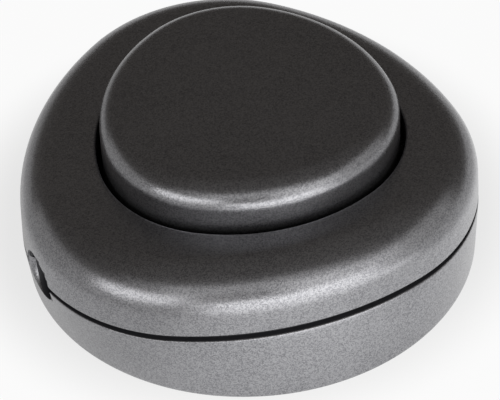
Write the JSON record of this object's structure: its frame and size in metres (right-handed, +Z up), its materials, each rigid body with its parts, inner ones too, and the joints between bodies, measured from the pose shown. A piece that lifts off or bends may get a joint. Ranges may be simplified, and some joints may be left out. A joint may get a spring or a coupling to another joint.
{
  "type": "foot switch",
  "caption": "In-line foot switch for a lamp lead: round foot, rounded three-cornered body with a domed push button, lead inlets on two sides.",
  "frame": {"origin": "centre of the round foot's underside, on the axis of the button and the rotor", "axes": "+Z up along the button's axis, one corner of the body to +Y, the lead runs through along X"},
  "size_m": [0.0712, 0.0714, 0.0304],
  "materials": {
    "shell": "satin, fine spark-eroded texture",
    "button": "satin, fine spark-eroded texture",
    "mechanism": "moulded",
    "clamp": "moulded",
    "brass": "stamped",
    "contact": "silvered",
    "steel": "zinc plated",
    "spring_steel": "drawn wire"
  },
  "bodies": {
    "housing": {"base": "shell", "cover": "shell", "rotor_pin": "steel", "rotor_washer": "steel", "retaining_clip": "steel", "return_spring": "spring_steel", "guide_bridge": "mechanism", "bridge_screws": "steel", "live_in_terminal": "brass", "live_out_terminal": "brass", "contact_rivets": "contact", "neutral_link": "brass", "earth_link": "brass", "terminal_screws": "steel", "cord_clamp_left": "clamp", "cord_clamp_right": "clamp", "clamp_screws": "steel", "cover_screws": "steel"},
    "button": {"button": "button", "plunger": "mechanism"},
    "rotor": {"rotor": "mechanism", "contact_bridge": "brass"}
  },
  "joints": [
    {"name": "button_press", "type": "slide", "parent": "housing", "child": "button", "axis": [0, 0, -1], "range_m": [0, 0.004], "stiffness_N_per_m": 2500, "springref_m": -0.004, "deforming": ["return_spring"]},
    {"name": "rotor_turn", "type": "hinge", "parent": "housing", "child": "rotor", "pos_m": [0, 0, 0], "axis": [0, 0, 1], "range_deg": [0, 45]}
  ],
  "couplings": [
    {"joint": "rotor_turn", "follows": "button_press", "rad_per_m": 196.35}
  ]
}
